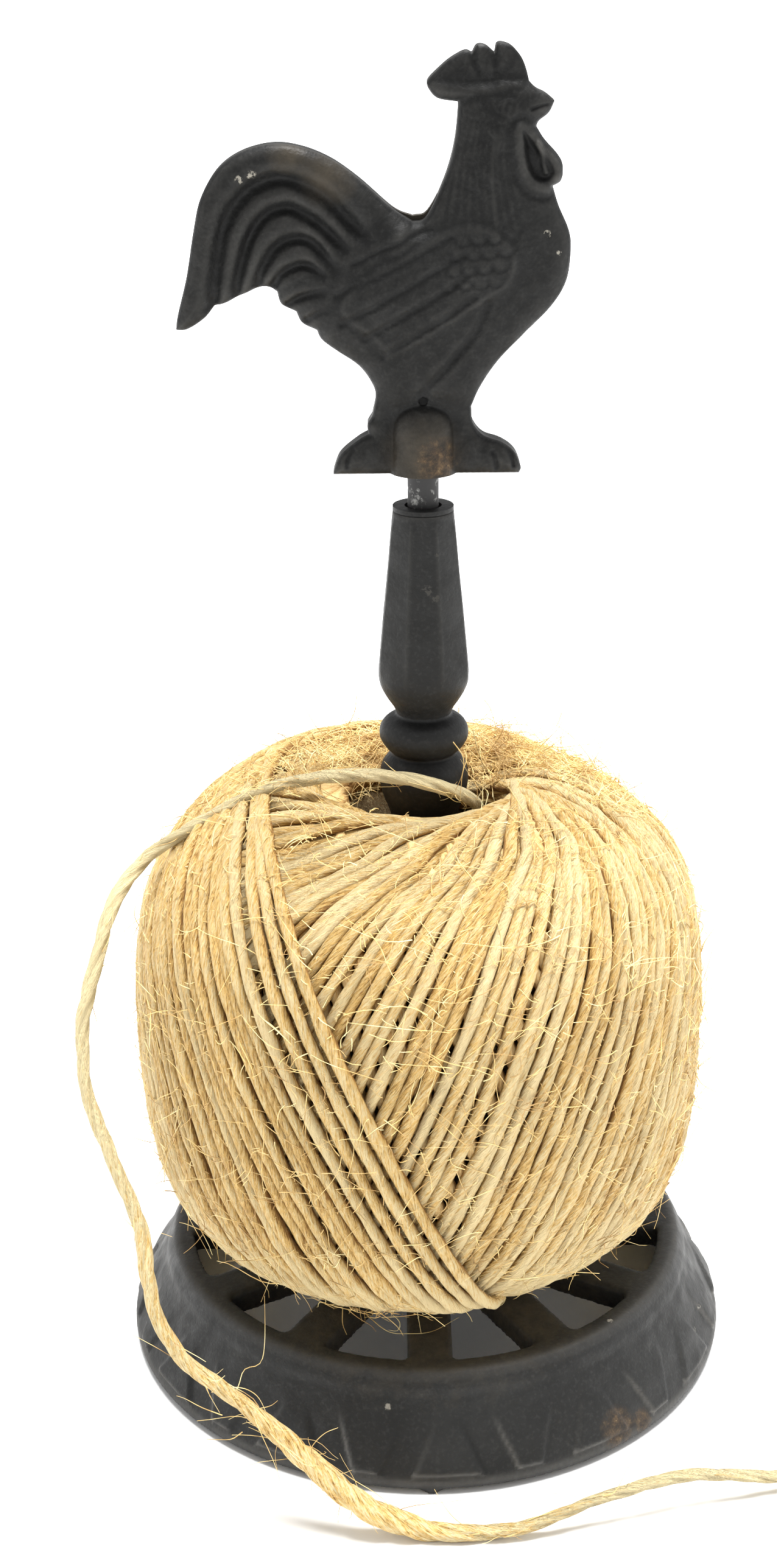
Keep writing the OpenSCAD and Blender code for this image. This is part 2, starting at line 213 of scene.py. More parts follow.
def strand(points, radius, sides, closed=False, lobes=((2, 0.06), (3, 0.045)), pitch=FIBRE_PITCH):
    """A single-ply yarn along a line. Its fibre coordinate turns about it as the fibres do."""
    side, up = moving_frames(points, closed)
    step = np.linalg.norm(np.diff(points, axis=0), axis=1)
    s = np.concatenate([[0], np.cumsum(step)])
    phase = RNG.uniform(0, 2 * np.pi, 4)
    a = np.linspace(0, 2 * np.pi, sides, endpoint=False)
    turned = a - (2 * np.pi * s / pitch)[:, None] + phase[0]
    slub = 1 + 0.07 * np.sin(s / 13 + phase[1]) + 0.045 * np.sin(s / 4.7 + phase[2])
    if closed:
        fade = np.clip(np.minimum(s, s[-1] - s) / 20, 0, 1)
        slub = 1 + (slub - 1) * fade
    r = (np.ones(len(s)) * radius * slub)[:, None] * (
        1 + sum(size * np.cos(k * turned + phase[3] * (k - 2)) for k, size in lobes)
    )
    ring = side[:, None] * np.cos(a)[:, None] + up[:, None] * np.sin(a)[:, None]
    verts = (points[:, None] + ring * r[..., None]).reshape(-1, 3)
    along = np.broadcast_to((s / FIBRE_LENGTH + RNG.uniform(0, 50))[:, None], turned.shape)
    fibre = np.stack([np.cos(turned), np.sin(turned), along], -1).reshape(-1, 3)
    return verts, ring_faces(len(points), sides, closed), fibre


def join(parts):
    """Several (verts, faces, ...) as one."""
    base = np.cumsum([0] + [len(p[0]) for p in parts[:-1]])
    faces = np.vstack([p[1] + b for p, b in zip(parts, base)])
    others = [np.concatenate([p[k] for p in parts]) for k in range(2, len(parts[0]))]
    return (np.vstack([p[0] for p in parts]), faces, *others)


def set_shade(mesh, shade):
    data = mesh.attributes.new("shade", "FLOAT", "POINT").data
    data.foreach_set("value", np.asarray(shade, float))


def make_object(name, verts, faces, fibre=None, shade=None, smooth=True):
    """A mesh object of four-sided faces from arrays in millimetres.

    fibre (a vector) and shade (a number) are kept per vertex for the materials."""
    mesh = bpy.data.meshes.new(name)
    verts, faces = np.asarray(verts, float) * MM, np.asarray(faces, int)
    mesh.vertices.add(len(verts))
    mesh.vertices.foreach_set("co", verts.ravel())
    mesh.loops.add(faces.size)
    mesh.loops.foreach_set("vertex_index", faces.ravel())
    mesh.polygons.add(len(faces))
    mesh.polygons.foreach_set("loop_start", np.arange(len(faces)) * 4)
    mesh.polygons.foreach_set("use_smooth", np.full(len(faces), smooth))
    mesh.update(calc_edges=True)
    if fibre is not None:
        data = mesh.attributes.new("fibre", "FLOAT_VECTOR", "POINT").data
        data.foreach_set("vector", np.asarray(fibre, float).ravel())
    if shade is not None:
        set_shade(mesh, shade)
    obj = bpy.data.objects.new(name, mesh)
    bpy.context.scene.collection.objects.link(obj)
    return obj


def add_piece(obj, body, material):
    """Give an object its material and what the frame has to know about it."""
    obj.data.materials.clear()
    obj.data.materials.append(material)
    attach(obj, body)
    return obj


def add_twine(name, material, *arrays):
    return add_piece(make_object(name, *arrays), "ball", material)


# ---- materials ----


class Nodes:
    """Short way to write a node tree."""

    def __init__(self, owner):
        owner.use_nodes = True
        self.tree = owner.node_tree

    def feed(self, value, socket):
        """Link an output to a socket, or set the socket to a constant."""
        if hasattr(value, "links"):
            self.tree.links.new(value, socket)
        else:
            socket.default_value = (*value, 1) if isinstance(value, tuple) else value

    def add(self, kind, **values):
        """A node with the named inputs fed and its other settings made."""
        node = self.tree.nodes.new("ShaderNode" + kind)
        for key, value in values.items():
            if key in node.inputs:
                self.feed(value, node.inputs[key])
            else:
                setattr(node, key, value)
        return node

    def math(self, operation, *values):
        node = self.add("Math", operation=operation)
        for socket, value in zip(node.inputs, values):
            self.feed(value, socket)
        return node.outputs["Value"]

    def times(self, a, b):
        return self.math("MULTIPLY", a, b)

    def plus(self, a, b):
        return self.math("ADD", a, b)

    def mix(self, factor, a, b):
        """Color a where the factor is 0, b where it is 1."""
        node = self.add("MixRGB")
        for socket, value in zip(node.inputs, (factor, a, b)):
            self.feed(value, socket)
        return node.outputs["Color"]

    def noise(self, point, scale, detail=4.0, rough=0.55):
        node = self.add("TexNoise", Vector=point, Scale=scale, Detail=detail, Roughness=rough)
        return node.outputs["Fac"]

    def ramp(self, value, *stops):
        node = self.add("ValToRGB", Fac=value)
        bar = node.color_ramp.elements
        while len(bar) < len(stops):
            bar.new(0.5)
        for element, (at, color) in zip(bar, stops):
            element.position = at
            element.color = (*color, 1)
        return node.outputs["Color"]

    def levels(self, value, *stops):
        return self.ramp(value, *[(at, (level,) * 3) for at, level in stops])

    def grey(self, value, lo, hi):
        return self.levels(value, (lo, 0), (hi, 1))


class Material(Nodes):
    def __init__(self, name):
        self.material = bpy.data.materials.new(name)
        super().__init__(self.material)
        self.shader = self.tree.nodes["Principled BSDF"]

    def object_point(self):
        return self.add("TexCoord").outputs["Object"]

    def attribute(self, name, output="Fac"):
        return self.add("Attribute", attribute_name=name).outputs[output]

    def spot(self, point, centre, radius):
        """1 at a place on the object, falling to 0 at the radius."""
        away = self.add("VectorMath", operation="DISTANCE")
        self.feed(point, away.inputs[0])
        self.feed(Vector(centre) * MM, away.inputs[1])
        share = self.math("DIVIDE", away.outputs["Value"], radius * MM)
        return self.math("SUBTRACT", 1.0, self.math("MINIMUM", share, 1.0))

    def mottled_spot(self, point, centre, radius, scale, rough, least):
        """A spot broken up by noise."""
        broken = self.plus(self.noise(point, scale, 6, rough), least)
        return self.times(self.spot(point, centre, radius), broken)

    def bump(self, height, strength, distance):
        node = self.add("Bump", Height=height, Strength=strength, Distance=distance)
        self.set("Normal", node.outputs["Normal"])

    def set(self, name, value):
        self.feed(value, self.shader.inputs[name])

    def finish(self, color, roughness):
        self.set("Base Color", color)
        self.set("Roughness", roughness)
        return self.material


STAIN = (0.05, 0.041, 0.029)
CHIPPED = (0.24, 0.225, 0.19)
WEAR_AND_HIGHLIGHT = (0.13, 0.125, 0.115)


def cast_iron(
    name, tint, brown=(), rust=(), chips=(), wear_and_painted_light=1.0, gloss=0.3, stain_and_painted_light=STAIN, bare=CHIPPED
):
    """Old black paint on sand-cast iron, of a brightness tint.

    brown, rust and chips list (centre, radius) of places that are stained, rusted and chipped;
    stain_and_painted_light and bare are the colors under the first and the last; on the base the
    first is lighter than the iron, painted light as well as discoloration. The mesh's shade
    lightens
    edges by wear_and_painted_light: rubbed paint, and painted highlights on the base. It darkens
    hollows, and paints shade on the base. gloss is the paint's specular level."""
    n = Material(name)
    point = n.object_point()
    grey = lambda k: (k * tint, k * tint * 1.01, k * tint * 0.97)
    clouds = n.noise(point, 45, 6, 0.62)
    color = n.ramp(clouds, (0.3, grey(0.6)), (0.55, grey(1)), (0.8, grey(1.7)))
    speck = n.noise(point, 1100, 2, 0.5)
    color = n.mix(n.times(n.grey(speck, 0.52, 0.75), 0.5), color, grey(2.5))
    shade = n.attribute("shade")
    ragged = n.plus(n.noise(point, 330, 4, 0.6), 0.45)
    high = n.times(n.math("MAXIMUM", shade, 0.0), ragged)
    low = n.math("MAXIMUM", n.times(shade, -1.0), 0.0)
    # Lighter where paint is rubbed off edges; on the base also painted highlights and painted light
    # inside the skirt
    color = n.mix(n.math("MINIMUM", n.times(high, wear_and_painted_light), 1.0), color, WEAR_AND_HIGHLIGHT)
    # Darker in hollows; on the base also painted shade on the edges of the skirt's fields
    color = n.mix(n.math("MINIMUM", low, 0.75), color, grey(0.3))
    for centre, radius in brown:
        near = n.mottled_spot(point, centre, radius, 240, 0.72, 0.2)
        color = n.mix(n.times(n.grey(near, 0.15, 0.6), 0.75), color, stain_and_painted_light)
    for centre, radius in rust:
        near = n.mottled_spot(point, centre, radius, 340, 0.75, 0.35)
        rust_color = n.ramp(
            n.noise(point, 520, 5, 0.75),
            (0.36, (0.018, 0.015, 0.012)), (0.5, (0.046, 0.031, 0.019)),
            (0.61, (0.095, 0.06, 0.03)), (0.72, (0.24, 0.18, 0.1)),
        )
        color = n.mix(n.grey(near, 0.26, 0.6), color, rust_color)
    for centre, radius in chips:
        flakes = n.grey(n.noise(point, 900, 4, 0.75), 0.42, 0.56)
        near = n.times(n.spot(point, centre, radius), flakes)
        color = n.mix(n.grey(near, 0.2, 0.4), color, bare)
    height = n.plus(n.times(n.noise(point, 1500, 3, 0.6), 0.45), n.noise(point, 420, 4, 0.55))
    n.bump(height, 0.5, 0.00035)
    n.set("Specular IOR Level", gloss)
    return n.finish(color, n.levels(n.noise(point, 160, 4), (0.3, 0.46), (0.7, 0.66)))


def worn_rod():
    """Dull steel with black paint left in patches."""
    n = Material("worn_rod")
    point = n.object_point()
    grain = n.noise(point, 900, 5, 0.7)
    metal = n.ramp(grain, (0.35, (0.1, 0.1, 0.095)), (0.7, (0.34, 0.34, 0.32)))
    paint = n.grey(n.noise(point, 300, 6, 0.7), 0.37, 0.45)
    color = n.mix(paint, metal, (0.025, 0.024, 0.024))
    n.bump(paint, 0.3, 0.0002)
    n.set("Metallic", 0.35)
    return n.finish(color, n.levels(paint, (0, 0.42), (1, 0.62)))


def plain_steel():
    """Tarnished steel of the fixings, most of them out of sight."""
    n = Material("fixing_steel")
    point = n.object_point()
    tarnish = n.noise(point, 300, 6, 0.7)
    color = n.ramp(tarnish, (0.35, (0.12, 0.09, 0.07)), (0.6, (0.3, 0.29, 0.28)))
    n.bump(n.noise(point, 1500, 4), 0.25, 0.0002)
    n.set("Metallic", 0.8)
    return n.finish(color, n.levels(n.noise(point, 400), (0.3, 0.35), (0.7, 0.6)))


def sisal(name, light, mid, dark, relief=0.9):
    """Straw-colored yarn with long streaks along its fibres; shade makes it lighter or darker."""
    n = Material(name)
    fibre = n.attribute("fibre", "Vector")
    streaks = n.noise(fibre, 3.0, 4, 0.62)
    fine = n.noise(fibre, 8.5, 4, 0.65)
    patches = n.noise(n.object_point(), 42, 4, 0.6)
    value = n.plus(n.times(streaks, 0.48), n.times(fine, 0.44))
    value = n.plus(value, n.times(patches, 0.08))
    shade = n.attribute("shade")
    value = n.plus(value, n.times(n.math("SUBTRACT", shade, 0.5), 0.25))
    color = n.ramp(value, (0.36, dark), (0.45, mid), (0.56, light))
    height = n.plus(n.times(streaks, 0.6), n.times(fine, 0.4))
    n.bump(height, relief, 0.0011)
    n.set("Specular IOR Level", 0.3)
    return n.finish(color, n.levels(streaks, (0.3, 0.42), (0.7, 0.62)))


def hair_fibre():
    n = Material("loose_fibre")
    color = n.ramp(
        n.noise(n.object_point(), 130, 2),
        (0.36, (0.46, 0.28, 0.1)), (0.5, (0.84, 0.6, 0.24)), (0.66, (0.97, 0.83, 0.44)),
    )
    n.set("Specular IOR Level", 0.4)
    return n.finish(color, 0.55)


# ---- twine pieces ----


def hairs(roots, outs, alongs, lengths, bends, radius):
    """Loose fibres, all at once: thin three-sided tubes that leave their roots and curl."""
    t = np.linspace(0, 1, 7)[:, None]
    curl = np.sin(np.linspace(0, 5, 7))[:, None] * RNG.normal(size=(len(roots), 1, 3)) * 0.045
    path = outs[:, None] * t + alongs[:, None] * t + bends[:, None] * t**2 + curl
    lines = roots[:, None] + lengths[:, None, None] * path
    return tubes(lines, radius * RNG.uniform(0.6, 1.25, len(roots)))


def tubes(lines, radii):
    """Three-sided tubes round many lines with the same number of points (lines, points, 3)."""
    count, steps, _ = lines.shape
    tangent = unit(np.gradient(lines, axis=1))
    side = unit(np.cross(tangent, [0.31, 0.57, 0.76]))
    up = np.cross(tangent, side)
    a = np.linspace(0, 2 * np.pi, 3, endpoint=False)
    ring = side[:, :, None] * np.cos(a)[:, None] + up[:, :, None] * np.sin(a)[:, None]
    width = radii[:, None] * np.linspace(1.1, 0.45, steps)
    verts = (lines[:, :, None] + ring * width[:, :, None, None]).reshape(-1, 3)
    first = np.arange(count)[:, None, None] * steps * 3
    return verts, (first + ring_faces(steps, 3, False)).reshape(-1, 4)


def placed_hairs(routes):
    """Single long fibres through given points."""
    lines = []
    for route in routes:
        line = even_steps(smooth_curve(route, 6), 0.8)[0]
        t = np.linspace(0, len(line) - 1, 24)
        lines.append(columns(*[np.interp(t, np.arange(len(line)), line[:, k]) for k in range(3)]))
    return tubes(np.stack(lines), np.full(len(lines), 0.13))


def hairs_along(points, weights, count, radius, longest):
    """Loose fibres round a strand, more of them where weights are high."""
    tangent = unit(np.gradient(points, axis=0))
    i = RNG.choice(len(points), count, p=weights / weights.sum())
    d = RNG.normal(size=(count, 3))
    d = unit(d - tangent[i] * (d * tangent[i]).sum(1)[:, None])
    lengths = (0.2 + 0.8 * RNG.uniform(size=count) ** 2.2) * longest
    roots = points[i] + d * (radius[i] * 0.85)[:, None]
    # None goes down into the floor
    buried = roots[:, 2] + lengths * np.minimum(d[:, 2], 0) < 1
    d[:, 2] = np.where(buried, np.abs(d[:, 2]), d[:, 2])
    outs = d * RNG.uniform(0.08, 0.6, (count, 1))
    alongs = tangent[i] * RNG.choice([-1, 1], (count, 1)) * RNG.uniform(0.5, 1, (count, 1))
    verts, faces = hairs(roots, outs, alongs, lengths, RNG.normal(size=(count, 3)) * 0.25, 0.11)
    verts[:, 2] = np.maximum(verts[:, 2], 0.05)
    return verts, faces


def build_tail(material, fibre):
    points, at = even_steps(smooth_curve(TAIL_ROUTE, 8), 1.0)
    share = at / at[-1]
    radius = np.interp(share, *zip(*TAIL_RADIUS))
    waver = [np.sin(at / 9 + k) + 0.6 * np.sin(at / 3.7 + 2 * k) for k in range(3)]
    wobble = 0.14 * columns(*waver)
    wobble[:, 2] *= 0.3
    # Brightness along the loose end, with painted light at its start
    tone_and_painted_light = np.interp(share, *zip(*TAIL_TONE_AND_LIGHT))
    sides, lobes = 28, ((2, 0.07), (3, 0.09), (5, 0.08))
    verts, faces, fibres = strand(points + wobble, radius, sides, lobes=lobes, pitch=34)
    verts[:, 2] = np.maximum(verts[:, 2], 0.02)
    tail = add_twine("twine_loose_end", material, verts, faces, fibres, np.repeat(tone_and_painted_light, sides))
    # Frayed in front of the base and where it leaves the ball, clean at its cut end
    weights = 0.25 + bell(share - 0.66, 0.07) * 1.6 + bell(share - 0.1, 0.1)
    weights[share > 0.96] = 0
    loose = join([hairs_along(points, weights, TAIL_HAIRS, radius, 15), placed_hairs(TAIL_FIBRES)])
    fuzz = add_twine("twine_loose_end_fuzz", fibre, *loose)
    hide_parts("twine_tail")


class Profile:
    """The ball's outside as a line from the lower hole to the upper."""

    def __init__(self):
        p = smooth_curve([(r, 0, z) for r, z in WRAP_EDGE], 12)
        self.r, self.z = p[:, 0], p[:, 2]
        dr, dz = np.gradient(self.r), np.gradient(self.z)
        norm = np.hypot(dr, dz)
        self.nr, self.nz = dz / norm, -dr / norm
        arc = np.cumsum(norm)
        self.share = (arc - arc[0]) / (arc[-1] - arc[0])

    def lifted(self, lift):
        return self.r + self.nr * lift, self.z + self.nz * lift

    def top(self, r):
        """Height of the upper face at a radius."""
        k = np.argmax(self.z > 130)
        return np.interp(r, self.r[k:][::-1], self.z[k:][::-1])


PROFILE = Profile()
BALL_CENTRE = np.array([0, 0, 88])


def waves(at, total, terms):
    """A random sway along a line, from (waves in its length, size) terms."""
    return sum(w * np.sin(2 * np.pi * k * at / total + RNG.uniform(0, 6.3)) for k, w in terms)


def settled(points, outward, turn):
    """A strand moved outward from the ball's centre, then turned round the axis."""
    c, s = math.cos(turn), math.sin(turn)
    x, y, z = (points + unit(points - BALL_CENTRE) * outward[:, None]).T
    return columns(c * x - s * y, s * x + c * y, z)


def cut_by_plane(r, z, d):
    """The part of a profile that a plane d from the axis reaches."""
    ok = r > np.abs(d)
    part = slice(np.argmax(ok), len(ok) - np.argmax(ok[::-1]))
    return r[part], z[part], d[part]


def upward_strand(turn, across, lift, step, level):
    """One length of yarn from the lower hole over the outside and into the upper hole.

    across lists (share of the way up, distance from the plane through the axis). level is how far
    it dips under its neighbours near the upper hole."""
    p = PROFILE
    raise_by = lift(p.z) - level * ease((57 - p.r) / 28) * (p.z > 100)
    r, z = p.lifted(raise_by)
    heading = math.degrees(turn)
    wide = 5 * math.exp(-((((heading - 5) % 360 - 180) / 62) ** 2))
    wide -= 6 * math.exp(-(((heading - 62) / 38) ** 2))
    d = np.interp(p.share, *zip(*across)) + RNG.normal() * 0.14
    d = d + wide * np.sign(d[-1]) * ease((p.share - 0.7) / 0.25)
    r, z, d = cut_by_plane(r, z, d)
    line = columns(d, -np.sqrt(np.maximum(r**2 - d**2, 0)), z)
    y = np.arange(1.5, 17, 1.5)
    far = np.hypot(d[-1], y)
    sunk = z[-1] - p.top(r[-1])
    over = columns(np.full_like(y, d[-1]), y, p.top(far) + sunk - 4.5 * ease(y / 13))
    points, at = even_steps(np.vstack([line, over]), step)
    total = at[-1]
    u = at / total
    shared = 0.5 * np.sin(8.2 * u + 3 * turn) + 0.35 * np.sin(14.5 * u + 7 * turn + 1)
    points[:, 0] += shared + waves(at, total, ((1, 0.12), (2, 0.12), (4, 0.1)))
    return settled(points, waves(at, total, ((3, 0.24), (5, 0.2))), turn)


def full_turn(turn, d_low, d_high, lift, step):
    """One closed turn of yarn in a plane d_low from the axis at the bottom, d_high at the top."""
    p = PROFILE
    r, z = p.lifted(lift(p.z))
    d = d_low + (d_high - d_low) * np.clip((z - 29) / 117, 0, 1)
    r, z, d = cut_by_plane(r, z, d)
    y = np.sqrt(np.maximum(r**2 - d**2, 0))
    line = np.vstack([columns(d, -y, z), columns(d, y, z)[::-1]])
    points, at = even_steps(np.vstack([line, line[:1]]), step)
    points, at = points[:-1], at[:-1]
    total = at[-1] + step
    points[:, 0] += 0.7 * np.sin(2 * np.pi * 3 * at / total + 5 * turn)
    points[:, 0] += waves(at, total, ((2, 0.14), (3, 0.14), (5, 0.14)))
    return settled(points, waves(at, total, ((4, 0.25), (7, 0.18))), turn)


def build_yarn(name, lines, material, radius=YARN_R, sides=10, closed=False):
    """Many strands as one piece, with painted shade down the sides that face their neighbours and
    painted light on the lower windings.
    """
    parts = []
    for line in lines:
        part = strand(line, radius * RNG.uniform(0.92, 1.08), sides, closed)
        middle = np.repeat(line, sides, axis=0)
        facing = (unit(part[0] - middle) * unit(middle - BALL_CENTRE)).sum(1)
        # A random brightness per strand, plus painted light that brightens the windings below about
        # 62 mm
        tone_and_painted_light = np.clip(0.58 + RNG.normal() * 0.16, 0.2, 1) + 0.5 * ease((62 - middle[:, 2]) / 30)
        # Painted shade: darker down the sides and the inner face of each strand
        parts.append((*part, tone_and_painted_light + 0.75 * (ease((facing + 0.25) / 0.85) - 1)))
    return add_twine(name, material, *join(parts))


def build_ball(material, under_material, core_material, fibre):
    on_plate = lambda z: -0.3 + (OUTER_LIFT + 0.3) * ease((z - 28) / 16)
    near_foot = lambda z: -1.2 * ease((40 - z) / 9)
    gap = math.radians(360 / MAIN_STRANDS)
    lines = []
    for j in range(MAIN_STRANDS):
        stray = 0.34 * math.sin(j * 1.9) * (j % 9 == 4)
        turn = gap * (j + stray + RNG.normal() * 0.055)
        dip = MAIN_DIPS[j % 5] + RNG.uniform(0, 0.8)
        lines.append(upward_strand(turn, MAIN_ACROSS, near_foot, 1.7, dip))
    third = MAIN_STRANDS // 3
    for k, letter in enumerate("abc"):
        build_yarn("twine_windings_" + letter, lines[k * third : (k + 1) * third], material)
    spread = [0, -1.25, -2.5, -3.6] + [-3.6 - 1.0 * j for j in range(1, OUTER_TURNS - 3)]
    turns = [OUTER_GAP * (k + RNG.normal() * 0.13 * (k < -3)) for k in spread]
    outer = [
        full_turn(t, 18, -38 + 0.32 * k + RNG.normal() * 0.6, on_plate, 1.7)
        for t, k in zip(turns, spread)
    ]
    build_yarn("twine_windings_outer", outer, material, 1.43, closed=True)
    # A layer slanting the other way, seen through the gaps
    mirror = [(u, -d) for u, d in MAIN_ACROSS]
    gap = math.radians(360 / UNDER_STRANDS)
    deep = [
        upward_strand(gap * j, mirror, lambda z: 0 * z - 2.5, 2.4, RNG.uniform(0, 1))
        for j in range(UNDER_STRANDS)
    ]
    build_yarn("twine_windings_under", deep, under_material, YARN_R * 1.15, 8)
    core = build_core(core_material)
    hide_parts("twine_ball")
    build_ball_fuzz(fibre)


def lathe(profile, around, closed=False):
    """A surface of revolution from (radius, height) points."""
    p = np.asarray(profile, float)
    a = np.linspace(0, 2 * np.pi, around, endpoint=False)
    r, z = p[:, :1], np.repeat(p[:, 1:], around, 1)
    verts = np.stack([r * np.cos(a), r * np.sin(a), z], -1).reshape(-1, 3)
    return verts, ring_faces(len(p), around, closed)


def build_core(material):
    """The mass of twine under the windings, with the shallow bowl and the hole down its middle."""
    r, z = PROFILE.lifted(-5.6)
    outer = columns(r, z)[r > 15.5]
    outer = outer[: np.argmax((outer[:, 1] > 120) & (outer[:, 0] < 34))]
    profile = np.vstack([outer, CORE_HOLE])
    verts, faces = lathe(profile, 240, closed=True)
    x, y, z = verts.T
    angle, radius = np.arctan2(y, x), np.hypot(x, y)
    bowl = ease((z - 132) / 4) * ease((40 - radius) / 6)
    # Ridges that wind into the hole, as the strands under the fuzz do
    swirl = 26 * angle + radius * 0.9
    lumps = 0.45 * np.sin(swirl) + 0.5 * np.sin(11 * angle - 0.6 * radius)
    z += bowl * (lumps + 0.3 * np.sin(3 * angle + 1))
    fibres = columns(np.cos(swirl), radius * 0.35 + z * 0.3, angle * 8)
    return add_twine("twine_core", material, verts, faces, fibres)


def build_ball_fuzz(fibre):
    """Loose fibres all over the ball, more of them in and round the upper hole."""
    p = PROFILE
    area = np.cumsum(p.r * np.hypot(np.gradient(p.r), np.gradient(p.z)))
    count = FUZZ_HAIRS
    k = np.minimum(np.searchsorted(area / area[-1], RNG.uniform(size=count)), len(p.r) - 1)
    rim = np.arange(count) % 4 == 0
    k[rim] = RNG.integers(len(p.r) - 62, len(p.r), rim.sum())
    a = RNG.uniform(0, 2 * np.pi, count)
    a[rim] = RNG.uniform(-0.05, 1.05, rim.sum()) * np.pi
    c, s = np.cos(a), np.sin(a)
    out = columns(p.nr[k] * c, p.nr[k] * s, p.nz[k])
    roots = columns(p.r[k] * c, p.r[k] * s, p.z[k]) + out * RNG.uniform(0.6, 1.9, (count, 1))
    left = (roots[:, 0] < 0) & (roots[:, 1] < 10)
    roots[left] += out[left] * 2.6
    swirl = columns(-s, c, 0 * c)
    lay = RNG.uniform(0, 2 * np.pi, (count, 1))
    along = (swirl * np.cos(lay) + np.cross(out, swirl) * np.sin(lay) * 0.7) * 1.2
    lengths = 2 + 11 * RNG.uniform(size=count) ** 2.4
    lengths[::30] *= 2.0
    x, y, z = roots.T
    lengths[z < 46] *= 0.62
    lean = RNG.uniform(0.02, 0.36, (count, 1))
    lean[rim] *= 1.7
    bends = RNG.normal(size=(count, 3)) * 0.28 - out * 0.22 * RNG.uniform(size=(count, 1))
    verts, faces = hairs(roots, out * lean, along, lengths, bends, 0.12)
    over_hole = (np.hypot(x, y) < 30) & (z > 100) & (y < 2)
    low = (verts[:, 2].reshape(count, -1).min(1) < 26.6) | over_hole
    faces = faces.reshape(count, -1, 4)
    for k, letter in enumerate("ab"):
        some = faces[~low & (np.arange(count) % 2 == k)].reshape(-1, 4)
        used, some = np.unique(some, return_inverse=True)
        add_twine("twine_fuzz_" + letter, fibre, verts[used], some.reshape(-1, 4))
    add_twine("twine_fuzz_middle", fibre, *join([bowl_fuzz(), placed_hairs(BALL_FIBRES)]))


def bowl_fuzz():
    """The tangle of short fibres that lines the bowl round the column."""
    count = BOWL_HAIRS
    a = RNG.uniform(-0.12 * np.pi, 1.12 * np.pi, count)
    r = RNG.uniform(17, 40, count)
    c, s = np.cos(a), np.sin(a)
    z = np.interp(r, [13, 18, 24, 34], [136.5, 138.5, 140.5, 143.5])
    roots = columns(r * c, r * s, z)
    either_way = RNG.choice([-1, 1], (count, 1))
    tangential = columns(-s, c, 0 * c) * either_way * RNG.uniform(0.3, 1.2, (count, 1))
    outs = columns(c * 0.4, s * 0.4, RNG.uniform(0.05, 0.4, count))
    lengths = 2.5 + 8 * RNG.uniform(size=count) ** 1.7
    return hairs(roots, outs, tangential, lengths, RNG.normal(size=(count, 3)) * 0.2, 0.14)


# ---- rooster ----

FEET_Z = 221.5
# The outline, as in part.scad: (x, height above the feet). Each run starts where the one before
# it ends, with a corner there.
ROOSTER_RUNS = [
    [(3.5, 80), (1.7, 81.5), (1.1, 83.5), (3.5, 86), (6, 88), (9, 89.5), (10.5, 89)],
    [(11.5, 90.6), (13.3, 90.5), (15.2, 89)],
    [(15.8, 91), (18.3, 90.6), (20.4, 88.6), (21.6, 86.2), (22.4, 83.3)],
    [(24, 81.8), (26, 80.8), (27.8, 79.4)],
    [(26.6, 77), (24.6, 75.4), (24, 74.3)],
    [(26, 71.3), (29.2, 67.7), (29.8, 65), (29.3, 63), (27.7, 62)],
    [
        (29, 58), (31.3, 52.8), (31.8, 48.6), (31, 42.2), (27.8, 36.7), (22.2, 31), (16.4, 25),
        (12.6, 19.4), (10.6, 15),
    ],
    [(11, 11.4), (13.3, 8.5), (17.3, 7), (20.3, 4.7), (21.7, 1.4), (21.3, 0)],
    [(-20, 0)],
    [(-19.8, 1), (-18.3, 4.4), (-14.3, 7.7), (-12, 9)],
    [(-12.3, 11), (-11.2, 13)],
    [(-10.4, 17), (-11, 20), (-14, 24.2), (-19.2, 27.8), (-22, 30), (-23, 32)],
    [(-26.1, 33.6), (-27.4, 36.1)],
    [(-30.5, 37.7), (-31.4, 40.4)],
    [(-33, 41.3), (-35, 41.3), (-38.8, 39.8), (-42.7, 38), (-45, 37.4)],
    [(-47.3, 34.8), (-51, 32.5), (-53.6, 32.3)],
    [
        (-53, 35.7), (-50.8, 43.7), (-49, 53), (-47.2, 60), (-43.5, 66), (-38.4, 69.5), (-32, 71.1),
        (-26, 70.5), (-19.6, 68), (-13.5, 63.8), (-6.5, 57.7), (-2, 54.8),
    ],
    [(0.4, 55.4), (2.8, 59.3), (5.4, 65.5), (7, 72), (7.6, 78.6), (7.2, 79.4)],
]
# Edges of the raised body, wing and wattle
BODY_EDGE = [
    (9, 76), (13, 79), (19, 79), (22.5, 74), (22, 66), (24.5, 60), (28, 53), (28.5, 47),
    (26, 40.5), (20, 34), (13.5, 27.5), (8.5, 20), (0, 17.5), (-8, 20), (-12, 25.5), (-19, 31),
    (-22, 38), (-19, 46), (-12, 52), (-4, 52.5), (3.5, 55.5), (7, 64),
]
WING_EDGE = [
    (9, 55), (15, 54), (20, 49), (19, 42.5), (12, 37.5), (2, 31.5), (-7, 26.5), (-9, 28),
    (-11.5, 31), (-16, 34), (-18, 38), (-14, 43), (-4, 48.5), (3, 52.5),
]
WATTLE = [
    (20.3, 73.6), (20.6, 67.5), (22.8, 62.9), (26.4, 61.9), (28.9, 64.6), (27.6, 68.1),
    (24.3, 71.9), (22, 74),
]
